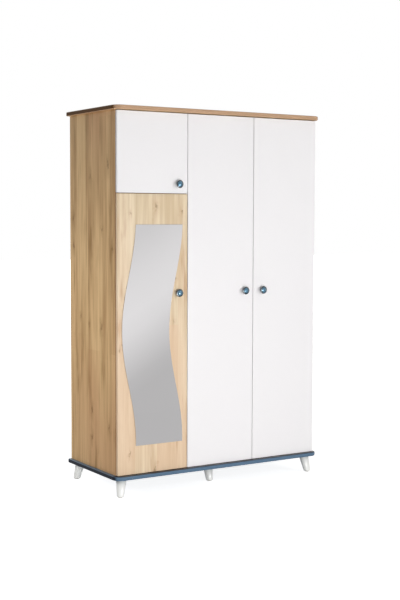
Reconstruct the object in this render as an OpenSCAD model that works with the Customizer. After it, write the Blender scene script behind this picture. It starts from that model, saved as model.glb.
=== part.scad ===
// Three-door wardrobe on splayed legs.
// Millimetres, +Z up, front towards -Y. The origin is on the floor, under the middle of the outline.

/* [Carcass] */
// Outside width over the two side panels
carcass_w = 1250; // [1100:10:1450]
// Depth of the side panels
side_d = 517; // [440:1:600]
// Height of the side panels between base board and top board
side_h = 1863; // [1800:1:2000]
// Thickness of side panels, partition and shelves
panel_t = 18; // [16:1:19]

/* [Top and base boards] */
// Thickness of the top board
top_t = 22; // [19:1:28]
// Thickness of the base board
base_t = 22; // [19:1:28]
// How far the top board stands out beyond each side panel
top_over_side = 22; // [10:1:35]
// How far the top board stands out in front of the door faces
top_over_front = 21; // [10:1:35]
// How far the base board stands out beyond each side panel
base_over_side = 20; // [10:1:35]
// How far the base board stands out in front of the door faces
base_over_front = 26; // [10:1:35]
// How far both boards stand out behind the side panels
over_rear = 4; // [0:1:10]
// Radius of the front corners of both boards, seen from above
corner_r = 46; // [30:1:60]
// Radius of the rear corners of both boards
rear_corner_r = 8; // [6:1:12]
// Radius of the long edges of both boards
board_edge_r = 5; // [2:0.5:5.5]

/* [Back] */
// Thickness of the hardboard back
back_t = 3; // [2.5:0.5:5]
// Distance from the rear face of the back to the rear edge of the side panels
back_inset = 12; // [8:1:20]
// Depth of the grooves that hold the back
groove_d = 6; // [4:1:8]
// Play of the back in its groove, on each face
groove_play = 0.2; // [0.1:0.05:0.4]
// Width of the flanges of the plastic joiner between two back sheets
joiner_w = 18; // [14:1:26]
// Wall thickness of the plastic joiner
joiner_wall = 1.2; // [1:0.1:2]

/* [Doors] */
// Thickness of the doors
door_t = 18; // [18:1:20]
// Gap between the closed doors and the front edges of the carcass
door_back_gap = 3; // [3:0.5:4]
// Gap between neighbouring doors
door_gap = 4; // [3.5:0.5:6]
// How far the outer doors stay inside the faces of the side panels
door_side_inset = 1; // [0.5:0.5:2]
// Gap between the doors and the top board
door_top_gap = 4; // [2:0.5:6]
// Gap between the doors and the base board
door_bottom_gap = 2; // [2:0.5:6]
// Height of the small upper door
upper_door_h = 412; // [360:1:460]
// Radius of the upright edges of the doors
door_edge_r = 2; // [1.5:0.1:3]

/* [Shelves and rail] */
// Number of movable shelves behind the mirror door
shelf_count = 3; // [1:1:3]
// Distance between the movable shelves, ten holes of the 32 mm row
shelf_pitch = 320; // [288:32:320]
// Play of a movable shelf at each end
shelf_play = 0.5; // [0.3:0.1:1]
// How far the movable shelves stand back from the front edges
shelf_setback = 12; // [5:1:30]
// Clear height above the hat shelf
hat_space_h = 280; // [220:5:340]
// Outer diameter of the hanging rail
rail_d = 25; // [20:1:30]
// Wall thickness of the hanging rail
rail_wall = 1.2; // [1:0.1:2]
// Distance from the hat shelf down to the rail axis
rail_drop = 60; // [45:1:90]
// Diameter of a shelf pin
pin_d = 5; // [4:0.5:6]
// Length of a shelf pin in its hole, and again under the shelf
pin_l = 9; // [7:0.5:10]
// Spacing of the row of shelf holes
hole_pitch = 32; // [25:1:32]

/* [Hinges] */
// Diameter of the hinge cup
cup_d = 35; // [34:0.5:36]
// Depth of the cup hole in the door
cup_depth = 13; // [12.5:0.1:13.5]
// Wall thickness of the cup
cup_wall = 0.8; // [0.6:0.1:1]
// Distance from the cup hole to the door edge
cup_edge = 3.5; // [3:0.1:4]
// Distance from the door edge to the hinge pin
pivot_u = 8; // [7.6:0.1:8.2]
// Distance from the door's front face to the hinge pin
pivot_v = 8.2; // [8:0.1:8.5]
// Diameter of the hinge pin
hinge_pin_d = 2.5; // [2:0.1:2.8]
// Radial running clearance of the hinge pin in the arm
pin_clear = 0.05; // [0.03:0.01:0.1]
// Width of the swan neck of the hinge arm
neck_w = 12; // [10:0.5:13]
// Thickness of the hinge arm
arm_t = 2; // [1.6:0.1:2.2]
// Distance from the ends of a door to its outer hinges
hinge_end = 100; // [90:1:110]

/* [Mirror] */
// Thickness of the mirror glass
mirror_t = 4; // [3:0.5:6]
// Thickness of the adhesive tape behind the mirror
tape_t = 1; // [0.5:0.1:2]
// Height of the mirror
mirror_h = 1138; // [1000:1:1200]
// Width of the mirror, measured level
mirror_w = 278; // [220:1:290]
// Height of the mirror's lower edge above the lower end of the door
mirror_lift = 146; // [100:1:200]
// How far the wave swings to each side
wave_a = 40; // [0:1:45]
// Height of one full wave
wave_l = 1145; // [1000:5:1400]
// Distance of the mirror's middle from the middle of the door
mirror_off = -4; // [-8:1:0]

/* [Knobs] */
// Diameter of a knob
knob_d = 42; // [36:0.5:46]
// How far a knob stands out from the door
knob_h = 26; // [24:0.5:32]
// Diameter of the coloured cap in a knob
cap_d = 28; // [22:0.5:33]
// How far the coloured cap is domed
cap_crown = 4.5; // [2:0.1:6]
// Distance from the knob's axis to the free edge of the door
knob_edge = 56; // [50:1:60]
// Height of the knobs of the tall doors above the base board
knob_z = 930; // [850:1:1000]
// Distance from the upper door's lower end to its knob
upper_knob_z = 48; // [40:1:70]

/* [Legs] */
// Height of the legs, from the floor to the base board
leg_h = 93; // [80:1:120]
// Diameter of a leg at its upper end
leg_top_d = 54; // [45:1:60]
// Diameter of a leg at its foot
leg_foot_d = 37; // [28:1:40]
// How far the foot of a corner leg stands out sideways from its top
leg_splay_x = 14; // [0:0.5:20]
// How far the foot of a corner leg stands out to the front or rear from its top
leg_splay_y = 16; // [0:0.5:20]
// How far the foot of a middle leg stands out to the front or rear from its top
mid_leg_splay = 20; // [0:0.5:26]
// Distance of a corner leg's top from the side face of the carcass
leg_in_x = 38; // [36:1:60]
// Distance of a front leg's top from the door faces, and of a rear leg's top from the rear edges
leg_in_y = 32; // [30:1:60]
// Distance of the front middle leg's top from the door faces
mid_leg_in_y = 126; // [100:1:180]
// Thickness of the felt glide under a leg
glide_t = 3; // [2:0.5:5]
// Diameter of the felt glide
glide_d = 24; // [18:1:28]
// Thickness of the steel plate above a leg
leg_plate_t = 2.5; // [2:0.1:4]
// Side of the steel plate above a leg
leg_plate_w = 44; // [40:1:60]

/* [Fittings] */
// Diameter of a cam
cam_d = 15; // [15:0.5:16]
// Depth of a cam
cam_h = 12.5; // [12:0.1:13.5]
// Distance from a panel's end to the cam
cam_reach = 34; // [24:1:34]
// Diameter of a cam bolt's shank
bolt_d = 6; // [5:0.5:6]
// Diameter of a wooden dowel
dowel_d = 8; // [6:1:8]
// Length of a wooden dowel
dowel_l = 30; // [25:1:35]

/* [Hidden] */
$fn = 64;

// levels
base_z = leg_h;
floor_z = base_z + base_t;
ceil_z = floor_z + side_h;
full_h = ceil_z + top_t;
door_low = floor_z + door_bottom_gap;
door_high = ceil_z - door_top_gap;
upper_low = door_high - upper_door_h;
split_z = upper_low - door_gap / 2;
lower_high = split_z - door_gap / 2;

// depths, from the front
front_reach = max(base_over_front, top_over_front, knob_h);
full_d = front_reach + door_t + door_back_gap + side_d + over_rear;
door_y = -full_d / 2 + front_reach;
side_y = door_y + door_t + door_back_gap;
side_rear = side_y + side_d;
back_y = side_rear - back_inset - back_t;
inner_d = back_y - side_y;

// columns, from the left
left_x = -carcass_w / 2;
inner_left = left_x + panel_t;
door_w = (carcass_w - 2 * door_side_inset - 2 * door_gap) / 3;
door_1x = left_x + door_side_inset;
door_2x = door_1x + door_w + door_gap;
door_3x = door_2x + door_w + door_gap;
part_x = door_2x - door_gap / 2;
part_left = part_x - panel_t / 2;
part_right = part_x + panel_t / 2;
left_bay_w = part_left - inner_left;
right_bay_w = -inner_left - part_right;
hat_z = ceil_z - hat_space_h - panel_t;

// fits
play = 0.1;
eps = 0.01;

// ---------- boards ----------

// Edge of a board in section: the outer side has both corners rounded
module edge_section(reach, t, r) {
    square([reach - r, t]);
    translate([0, r]) square([reach, t - 2 * r]);
    for (z = [r, t - r]) translate([reach - r, z]) intersection() {
        circle(r);
        translate([0, -r]) square([r, 2 * r]);
    }
}

// A board from y0 to y1 with rounded edges and corners, large ones at the front
module rounded_board(w, y0, y1, t, front_r, back_r, r) {
    front_y = y0 + front_r;
    rear_y = y1 - back_r;
    front_x = w / 2 - front_r;
    rear_x = w / 2 - back_r;
    translate([front_x, front_y, 0]) rotate(-90) rotate_extrude(angle = 90)
        edge_section(front_r, t, r);
    translate([-front_x, front_y, 0]) rotate(180) rotate_extrude(angle = 90)
        edge_section(front_r, t, r);
    translate([rear_x, rear_y, 0]) rotate_extrude(angle = 90) edge_section(back_r, t, r);
    translate([-rear_x, rear_y, 0]) rotate(90) rotate_extrude(angle = 90)
        edge_section(back_r, t, r);
    translate([front_x, front_y, 0]) rotate([90, 0, -90]) linear_extrude(2 * front_x)
        edge_section(front_r, t, r);
    translate([-rear_x, rear_y, 0]) rotate([90, 0, 90]) linear_extrude(2 * rear_x)
        edge_section(back_r, t, r);
    translate([rear_x, rear_y, 0]) rotate([90, 0, 0]) linear_extrude(rear_y - front_y)
        edge_section(back_r, t, r);
    translate([-rear_x, front_y, 0]) rotate([90, 0, 180]) linear_extrude(rear_y - front_y)
        edge_section(back_r, t, r);
    translate([-rear_x, front_y, 0]) cube([2 * rear_x, rear_y - front_y, t]);
}

module back_groove(z0, h) {
    x0 = inner_left - groove_d;
    translate([x0, back_y - groove_play, z0])
        cube([-2 * x0, back_t + 2 * groove_play, h]);
}

module top_board() {
    color("#c59a70") difference() {
        translate([0, 0, ceil_z])
            rounded_board(carcass_w + 2 * top_over_side, door_y - top_over_front,
                side_rear + over_rear, top_t, corner_r, rear_corner_r, board_edge_r);
        back_groove(ceil_z - eps, groove_d + eps);
        bolt_places() thread_hole();
        dowel_places() dowel_hole();
    }
}

module base_board() {
    color("#5f7c93") difference() {
        translate([0, 0, base_z])
            rounded_board(carcass_w + 2 * base_over_side, door_y - base_over_front,
                side_rear + over_rear, base_t, corner_r, rear_corner_r, board_edge_r);
        back_groove(floor_z - groove_d, groove_d + eps);
        bolt_places() thread_hole();
        dowel_places() dowel_hole();
        leg_places() translate([0, 0, base_z - eps]) {
            cylinder(d = leg_bolt_d, h = leg_bolt_grip + eps);
            leg_screw_places() cylinder(d = leg_screw_d, h = leg_screw_grip + eps);
        }
    }
}

// ---------- panels ----------

module side_panel(side) {
    x0 = side < 0 ? left_x : -inner_left;
    difference() {
        translate([x0, side_y, floor_z]) cube([panel_t, side_d, side_h]);
        back_groove(floor_z - eps, side_h + 2 * eps);
        fitting_holes();
    }
}

module side_panel_left() {
    color("#b58f61") side_panel(-1);
}

module side_panel_right() {
    color("#b58f61") side_panel(1);
}

module partition() {
    color("#c9a77c") difference() {
        translate([part_left, side_y, floor_z]) cube([panel_t, inner_d, side_h]);
        fitting_holes();
    }
}

module fixed_shelf() {
    color("#c9a77c") difference() {
        translate([inner_left, side_y, split_z - panel_t / 2])
            cube([left_bay_w, inner_d, panel_t]);
        fitting_holes();
    }
}

module hat_shelf() {
    color("#c9a77c") difference() {
        translate([part_right, side_y, hat_z])
            cube([right_bay_w, inner_d - joiner_wall - shelf_play, panel_t]);
        fitting_holes();
    }
}

function shelf_level(n) = floor_z + n * shelf_pitch;

module movable_shelves() {
    color("#c9a77c") for (n = [1:shelf_count])
        translate([inner_left + shelf_play, side_y + shelf_setback, shelf_level(n)])
            cube([left_bay_w - 2 * shelf_play, inner_d - shelf_setback - shelf_play, panel_t]);
}

// ---------- shelf pins ----------

pin_from_edge = 60;
pin_rows = [side_y + pin_from_edge, back_y - pin_from_edge];

// Local +X points out of the panel, and the pin's axis is just under the shelf
module pin_places(spare) {
    for (n = [1:shelf_count], y = pin_rows, k = spare) {
        z = shelf_level(n) - pin_d / 2 + k * hole_pitch;
        translate([inner_left, y, z]) children();
        translate([part_left, y, z]) mirror([1, 0, 0]) children();
    }
}

module shelf_pins() {
    color("silver") pin_places([0]) rotate([0, 90, 0]) translate([0, 0, -pin_l])
        cylinder(d = pin_d, h = 2 * pin_l);
}

module pin_hole() {
    rotate([0, 90, 0]) translate([0, 0, -pin_l]) cylinder(d = pin_d, h = pin_l + eps);
}

// ---------- hanging rail ----------

rail_z = hat_z - rail_drop;
rail_y = side_y + inner_d / 2;
flange_t = 3;
flange_rim_w = 11;
socket_wall = 2.5;
socket_l = 12;

module hanging_rail() {
    color("#c9ccd0") translate([part_right + flange_t, rail_y, rail_z]) rotate([0, 90, 0])
        difference() {
            cylinder(d = rail_d, h = right_bay_w - 2 * flange_t);
            translate([0, 0, -eps])
                cylinder(d = rail_d - 2 * rail_wall, h = right_bay_w - 2 * flange_t + 2 * eps);
        }
}

module rail_flange() {
    rotate([0, 90, 0]) difference() {
        union() {
            cylinder(d = rail_d + 2 * flange_rim_w, h = flange_t);
            cylinder(d = rail_d + 2 * socket_wall, h = flange_t + socket_l);
        }
        translate([0, 0, flange_t]) cylinder(d = rail_d + 2 * play, h = socket_l + eps);
    }
}

module rail_flanges() {
    color("#9b9ea3") {
        translate([part_right, rail_y, rail_z]) rail_flange();
        translate([-inner_left, rail_y, rail_z]) mirror([1, 0, 0]) rail_flange();
    }
}

// ---------- back ----------

web_t = 2;
joiner_clear = 1;
joiner_x = part_right + right_bay_w / 2;
back_low = floor_z - groove_d + groove_play;
back_h = side_h + 2 * (groove_d - groove_play);

module back_sheet(x0, x1) {
    translate([x0, back_y, back_low]) cube([x1 - x0, back_t, back_h]);
}

module back_left() {
    color("#d9c4a2") back_sheet(inner_left - groove_d + groove_play, part_x);
}

module back_middle() {
    color("#d9c4a2") back_sheet(part_x, joiner_x - web_t / 2);
}

module back_right() {
    color("#d9c4a2") back_sheet(joiner_x + web_t / 2, -inner_left + groove_d - groove_play);
}

// H section that slips over the edges of two sheets
module back_joiner() {
    color("#e8e0d2") translate([joiner_x, back_y + back_t / 2, floor_z + joiner_clear])
        linear_extrude(side_h - 2 * joiner_clear) {
            square([web_t, back_t + 2 * play + joiner_wall], center = true);
            for (s = [-1, 1])
                translate([0, s * (back_t / 2 + play + joiner_wall / 2)])
                    square([joiner_w, joiner_wall], center = true);
        }
}

// ---------- cams, bolts and dowels ----------

// distances of the fittings from the front edges and from the back
cam_front = 70;
cam_rear = 110;
dowel_front = 110;
dowel_rear = 60;
shelf_dowel_front = 150;
shelf_dowel_rear = 170;
cam_y = [side_y + cam_front, back_y - cam_rear];
dowel_y = [side_y + dowel_front, back_y - dowel_rear];
shelf_dowel_y = [side_y + shelf_dowel_front, back_y - shelf_dowel_rear];

// the bolt: a thread, a shank, a thin neck that the cam grips behind, and a head
thread_d = 5;
thread_l = 11;
head_d = 7;
head_l = 3;
bolt_neck_d = 4;
bolt_neck_l = 4;
shank_hole_d = 8;
driver_l = 7;
driver_w = 1.6;

// Both place modules set children at the joint plane: local +Z runs into the panel that
// holds the cam, and local +X faces the cam's open side.
module end_joints(y_list) {
    for (y = y_list, up = [0, 1]) translate([0, y, up * ceil_z + (1 - up) * floor_z])
        mirror([0, 0, up]) {
            translate([left_x + panel_t / 2, 0, 0]) children();
            translate([-left_x - panel_t / 2, 0, 0]) mirror([1, 0, 0]) children();
            translate([part_x, 0, 0]) children();
        }
}

module shelf_joints(y_list) {
    for (y = y_list) {
        translate([inner_left, y, split_z]) rotate([0, 90, 0]) children();
        translate([part_left, y, split_z]) mirror([1, 0, 0]) rotate([0, 90, 0]) children();
        translate([part_right, y, hat_z + panel_t / 2]) rotate([0, 90, 0]) children();
        translate([-inner_left, y, hat_z + panel_t / 2]) mirror([1, 0, 0])
            rotate([0, 90, 0]) children();
    }
}

module bolt_places() {
    end_joints(cam_y) children();
    shelf_joints(cam_y) children();
}

module dowel_places() {
    end_joints(dowel_y) children();
    shelf_joints(shelf_dowel_y) children();
}

module thread_hole() {
    translate([0, 0, -thread_l - play]) cylinder(d = thread_d + play, h = thread_l + play + eps);
}

module shank_hole() {
    translate([0, 0, -eps]) cylinder(d = shank_hole_d, h = cam_reach + eps);
}

module cam_hole() {
    translate([panel_t / 2 + eps, 0, cam_reach]) rotate([0, -90, 0])
        cylinder(d = cam_d, h = cam_h + play + eps);
}

module dowel_hole() {
    translate([0, 0, -dowel_l / 2 - play]) cylinder(d = dowel_d, h = dowel_l + 2 * play);
}

module cam_bolt() {
    neck_z = cam_reach - head_l - bolt_neck_l;
    translate([0, 0, -thread_l]) cylinder(d = thread_d, h = thread_l + eps);
    cylinder(d = bolt_d, h = neck_z + eps);
    translate([0, 0, neck_z]) cylinder(d = bolt_neck_d, h = bolt_neck_l + eps);
    translate([0, 0, cam_reach - head_l]) cylinder(d = head_d, h = head_l);
}

module cam() {
    difference() {
        translate([panel_t / 2, 0, cam_reach]) rotate([0, -90, 0]) cylinder(d = cam_d, h = cam_h);
        translate([0, 0, cam_reach - cam_d])
            cylinder(d = head_d + 2 * play, h = cam_d + 2 * play);
        for (a = [0, 90]) translate([panel_t / 2, 0, cam_reach]) rotate([a, 0, 0])
            cube([2 * driver_w, driver_w, driver_l], center = true);
    }
}

module cams() {
    color("#b9bcc0") bolt_places() cam();
}

module cam_bolts() {
    color("#b9bcc0") bolt_places() cam_bolt();
}

module dowels() {
    color("#e0c79b") dowel_places() translate([0, 0, -dowel_l / 2])
        cylinder(d = dowel_d, h = dowel_l);
}

module fitting_holes() {
    bolt_places() bolt_and_cam_holes();
    dowel_places() dowel_hole();
    pin_places([-1, 0, 1]) pin_hole();
    plate_places() plate_screw_holes();
}

module bolt_and_cam_holes() {
    thread_hole();
    shank_hole();
    cam_hole();
}

// ---------- hinges ----------

// A hinge lives in its own frame: u runs along X from the door's hinge edge, v along Y from
// the door's front face, w along Z from the middle of the cup.
cup_u = cup_edge + cup_d / 2;
face_side = panel_t - door_side_inset;
face_part = panel_t / 2 - door_gap / 2;
front_v = door_t + door_back_gap;
plate_set = 37;
plate_v = front_v + plate_set;
strip_gap = 9;
strip_w = 16;
strip_air = 1;
plate_rail_w = 10;
plate_rail_l = 36;
wing_l = 46;
wing_w = 11;
wing_t = 2;
screw_pitch = 32;
screw_d = 5;
screw_grip = 11;
screw_head_d = 8;
screw_head_h = 1.6;
knuckle_wall = 0.8;
knuckle_r = hinge_pin_d / 2 + knuckle_wall;
ear_gap = 0.3;
ear_t = 2;
ear_out = neck_w / 2 + ear_gap + ear_t;
floor_v = door_t - cup_depth;

function spread(lo, hi, n) = [for (k = [0:n - 1]) lo + (hi - lo) * k / (n - 1)];
upper_hinge_end = 80;
hinges_upper = spread(upper_low + upper_hinge_end, door_high - upper_hinge_end, 2);
hinges_lower = spread(door_low + hinge_end, lower_high - hinge_end, 3);
hinges_tall = spread(door_low + hinge_end, door_high - hinge_end, 4);

module left_hinges(levels, x) {
    for (z = levels) translate([x, door_y, z]) children();
}

module right_hinges(levels, x) {
    for (z = levels) translate([x, door_y, z]) mirror([1, 0, 0]) children();
}

// The arm's swan neck: the bends, from the pin along the cup's floor, up past its rim and
// over to the plate
neck_floor_u = 10.2;
neck_rise_u = 14.6;
neck_rise_v = 7.4;
neck_rim_u = 16;
neck_rim_v = 17.8;
neck_end = 17;
arm_past = 2;

function neck_points(face) = [
    [pivot_u, pivot_v],
    [pivot_u + neck_floor_u, pivot_v],
    [pivot_u + neck_rise_u, pivot_v + neck_rise_v],
    [pivot_u + neck_rim_u, pivot_v + neck_rim_v],
    [face + strip_gap + arm_t / 2, front_v + neck_end],
    [face + strip_gap + arm_t / 2, plate_v + plate_rail_l / 2 + arm_past]];

function heading(p, q) = (q - p) / norm(q - p);
function left_of(d) = [-d[1], d[0]];

// The point beside bend k, mitred, at a distance off to its left
function beside(points, k, off) =
    let (before = left_of(heading(points[max(k, 1) - 1], points[max(k, 1)])),
        after = k < len(points) - 1 ? left_of(heading(points[k], points[k + 1])) : before,
        middle = (before + after) / norm(before + after))
    points[k] + middle * off / (middle * before);

module neck_shape(points) {
    last = len(points) - 1;
    polygon(concat([for (k = [0:last]) beside(points, k, arm_t / 2)],
        [for (k = [0:last]) beside(points, last - k, -arm_t / 2)]));
}

module hinge_arm(face) {
    points = neck_points(face);
    difference() {
        union() {
            linear_extrude(neck_w, center = true) neck_shape(points);
            translate([pivot_u, pivot_v, -neck_w / 2]) cylinder(r = knuckle_r, h = neck_w);
            // the two sides of the channel that clips over the plate's rail
            for (z = [-strip_w / 2, strip_w / 2 - arm_t])
                translate([face + wing_t + strip_air, points[4][1], z])
                    cube([strip_gap + arm_t - wing_t - strip_air, points[5][1] - points[4][1],
                        arm_t]);
        }
        translate([pivot_u, pivot_v, -neck_w])
            cylinder(r = hinge_pin_d / 2 + pin_clear, h = 2 * neck_w);
    }
}

module hinge_plate(face) {
    difference() {
        union() {
            translate([face, plate_v - wing_w / 2, -wing_l / 2]) cube([wing_t, wing_w, wing_l]);
            translate([face, plate_v - plate_rail_l / 2, -plate_rail_w / 2])
                cube([strip_gap, plate_rail_l, plate_rail_w]);
        }
        for (s = [-1, 1]) translate([face - eps, plate_v, s * screw_pitch / 2]) rotate([0, 90, 0])
            cylinder(d = screw_d, h = wing_t + 2 * eps);
    }
}

module plate_screws(face) {
    for (s = [-1, 1]) translate([face, plate_v, s * screw_pitch / 2]) rotate([0, 90, 0]) {
        translate([0, 0, -screw_grip]) cylinder(d = screw_d, h = screw_grip + wing_t + eps);
        translate([0, 0, wing_t]) cylinder(d = screw_head_d, h = screw_head_h);
    }
}

module plate_screw_hole(face) {
    for (s = [-1, 1]) translate([face - screw_grip, plate_v, s * screw_pitch / 2])
        rotate([0, 90, 0]) cylinder(d = screw_d, h = screw_grip + eps);
}

module plate_places() {
    left_hinges(hinges_upper, door_1x) children();
    left_hinges(hinges_lower, door_1x) children();
    right_hinges(hinges_tall, door_3x + door_w) children();
    left_hinges(hinges_tall, door_2x) translate([face_part - face_side, 0, 0]) children();
}

module plate_screw_holes() {
    plate_screw_hole(face_side);
}

module hinge_plates() {
    color("#b7babd") plate_places() hinge_plate(face_side);
}

module hinge_plate_screws() {
    color("#8f9297") plate_places() plate_screws(face_side);
}

module hinge_arms_left() {
    color("#c4c7ca") {
        left_hinges(hinges_upper, door_1x) hinge_arm(face_side);
        left_hinges(hinges_lower, door_1x) hinge_arm(face_side);
    }
}

module hinge_arms_middle() {
    color("#c4c7ca") left_hinges(hinges_tall, door_2x) hinge_arm(face_part);
}

module hinge_arms_right() {
    color("#c4c7ca") right_hinges(hinges_tall, door_3x + door_w) hinge_arm(face_side);
}

// the cup's flange, with a lug for a screw above and below
flange_v = 1;
flange_rim = 2;
flange_reach = 8;
lug_u = 9.5;
lug_w = 12;
lug_end = 5;
lug_hole_d = 3.5;
cup_screw_w = 22.5;
ear_l = 6;
rim_low = 6.5;
rim_cut = 6;

module hinge_cup() {
    ear_w = neck_w / 2 + ear_gap;
    difference() {
        union() {
            translate([cup_u, door_t, 0]) rotate([90, 0, 0]) difference() {
                cylinder(d = cup_d, h = cup_depth);
                translate([0, 0, -eps])
                    cylinder(d = cup_d - 2 * cup_wall, h = cup_depth - cup_wall + eps);
            }
            // ears that carry the pin
            intersection() {
                for (s = [-1, 1])
                    translate([pivot_u - knuckle_r, floor_v, s * (ear_w + ear_t / 2) - ear_t / 2])
                        cube([ear_l, pivot_v - floor_v + knuckle_r, ear_t]);
                translate([cup_u, door_t, 0]) rotate([90, 0, 0]) cylinder(d = cup_d, h = cup_depth);
            }
            // flange with its two screw lugs, on the door's inner face
            translate([cup_u, door_t, 0]) rotate([-90, 0, 0]) difference() {
                union() {
                    cylinder(d = cup_d + 2 * flange_rim, h = flange_v);
                    translate([lug_u - lug_w / 2, -cup_screw_w - lug_end, 0])
                        cube([lug_w, 2 * (cup_screw_w + lug_end), flange_v]);
                }
                translate([0, 0, -eps]) cylinder(d = cup_d - 2 * cup_wall, h = flange_v + 2 * eps);
                translate([-cup_d, -cup_d, -eps])
                    cube([cup_d - flange_reach, 2 * cup_d, flange_v + 2 * eps]);
                for (s = [-1, 1]) translate([lug_u, s * cup_screw_w, -eps])
                    cylinder(d = lug_hole_d, h = flange_v + 2 * eps);
            }
        }
        // the rim is lowered where the arm swings out
        translate([0, floor_v + rim_low, -ear_w])
            cube([cup_u - rim_cut, cup_depth, 2 * ear_w]);
        translate([pivot_u, pivot_v, -ear_out - eps])
            cylinder(d = hinge_pin_d, h = 2 * (ear_out + eps));
    }
}

module hinge_pin() {
    translate([pivot_u, pivot_v, -ear_out]) cylinder(d = hinge_pin_d, h = 2 * ear_out);
}

module cup_hole() {
    translate([cup_u, door_t + eps, 0]) rotate([90, 0, 0]) cylinder(d = cup_d, h = cup_depth + eps);
}

module upper_left_hinge_cups() {
    color("#b7babd") left_hinges(hinges_upper, door_1x) hinge_cup();
}

module lower_left_hinge_cups() {
    color("#b7babd") left_hinges(hinges_lower, door_1x) hinge_cup();
}

module middle_hinge_cups() {
    color("#b7babd") left_hinges(hinges_tall, door_2x) hinge_cup();
}

module right_hinge_cups() {
    color("#b7babd") right_hinges(hinges_tall, door_3x + door_w) hinge_cup();
}

module upper_left_hinge_pins() {
    color("#8f9297") left_hinges(hinges_upper, door_1x) hinge_pin();
}

module lower_left_hinge_pins() {
    color("#8f9297") left_hinges(hinges_lower, door_1x) hinge_pin();
}

module middle_hinge_pins() {
    color("#8f9297") left_hinges(hinges_tall, door_2x) hinge_pin();
}

module right_hinge_pins() {
    color("#8f9297") right_hinges(hinges_tall, door_3x + door_w) hinge_pin();
}

// ---------- doors ----------

// Plan section of a door, all four upright edges rounded
module door_section() {
    r = door_edge_r;
    translate([0, r]) square([door_w, door_t - 2 * r]);
    translate([r, 0]) square([door_w - 2 * r, door_t]);
    for (x = [r, door_w - r], y = [r, door_t - r]) translate([x, y]) circle(r);
}

module door_leaf(x, z0, z1) {
    translate([x, door_y, z0]) linear_extrude(z1 - z0) door_section();
}

module upper_left_door() {
    color("#f2f2f0") difference() {
        door_leaf(door_1x, upper_low, door_high);
        left_hinges(hinges_upper, door_1x) cup_hole();
        knob_place(0) knob_hole();
    }
}

module lower_left_door() {
    color("#e3c9a2") difference() {
        door_leaf(door_1x, door_low, lower_high);
        left_hinges(hinges_lower, door_1x) cup_hole();
        knob_place(1) knob_hole();
    }
}

module middle_door() {
    color("#f2f2f0") difference() {
        door_leaf(door_2x, door_low, door_high);
        left_hinges(hinges_tall, door_2x) cup_hole();
        knob_place(2) knob_hole();
    }
}

module right_door() {
    color("#f2f2f0") difference() {
        door_leaf(door_3x, door_low, door_high);
        right_hinges(hinges_tall, door_3x + door_w) cup_hole();
        knob_place(3) knob_hole();
    }
}

bumper_d = 8;
bumper_in = 30;
bumper_side = 20;
bumper_lap = 3;
bumper_air = 0.2;

// Soft buttons on the front edges of the carcass, behind the free edges of the doors
module door_bumpers() {
    pad = door_back_gap - bumper_air;
    inset = part_x - door_gap / 2 - bumper_lap;
    color("#dfe3e6") {
        for (z = [door_low + bumper_in, lower_high - bumper_in, upper_low + bumper_in,
                door_high - bumper_in])
            translate([inset, side_y, z]) rotate([90, 0, 0]) cylinder(d = bumper_d, h = pad);
        for (x = [door_3x - door_gap - bumper_side, door_3x + bumper_side])
            translate([x, side_y, hat_z + panel_t / 2]) rotate([90, 0, 0])
                cylinder(d = bumper_d, h = pad);
    }
}

// ---------- mirror ----------

mirror_x = door_1x + door_w / 2 + mirror_off;
mirror_z = door_low + mirror_lift;
wave_low = mirror_z + mirror_h * 0.52;
wave_steps = 72;
tape_w = 25;
tape_in = 40;
tape_end = 91;
tape_count = 4;

function wave(z) = -wave_a * cos(360 * (z - wave_low) / wave_l);

function mirror_edge(s, inset) = [for (k = [0:wave_steps])
    let (z = mirror_z + inset + (mirror_h - 2 * inset) * (s > 0 ? k : wave_steps - k) / wave_steps)
    [mirror_x + wave(z) + s * (mirror_w / 2 - inset), z]];

module mirror_outline(inset) {
    polygon(concat(mirror_edge(1, inset), mirror_edge(-1, inset)));
}

module mirror_glass() {
    color("#c9d3d8") translate([0, door_y - tape_t, 0]) rotate([90, 0, 0])
        linear_extrude(mirror_t) mirror_outline(0);
}

// Strips of double-sided tape behind the glass
module mirror_tape() {
    tape_l = mirror_w - 2 * tape_in;
    color("white") for (z = spread(mirror_z + tape_end, mirror_z + mirror_h - tape_end, tape_count))
        translate([mirror_x + wave(z) - tape_l / 2, door_y - tape_t, z - tape_w / 2])
            cube([tape_l, tape_t, tape_w]);
}

// ---------- knobs ----------

knob_places = [
    [door_1x + door_w - knob_edge, upper_low + upper_knob_z],
    [door_1x + door_w - knob_edge, floor_z + knob_z],
    [door_2x + door_w - knob_edge, floor_z + knob_z],
    [door_3x + knob_edge, floor_z + knob_z]];
knob_screw_d = 4;
knob_screw_play = 0.25;
knob_bore = 12;
knob_head_d = 9;
knob_head_h = 2.5;
foot_r = 9;
foot_t = 3;
foot_edge = 1;
waist_r = 8;
lip_w = 1;
cap_seat = 3;
rim_z = knob_h - cap_crown;

// Local +Z points out of the door from its front face
module knob_place(n) {
    translate([knob_places[n][0], door_y, knob_places[n][1]]) rotate([90, 0, 0]) children();
}

module knob_hole() {
    translate([0, 0, -door_t - eps]) cylinder(d = knob_screw_d + 2 * knob_screw_play, h = door_t + 2 * eps);
}

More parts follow.
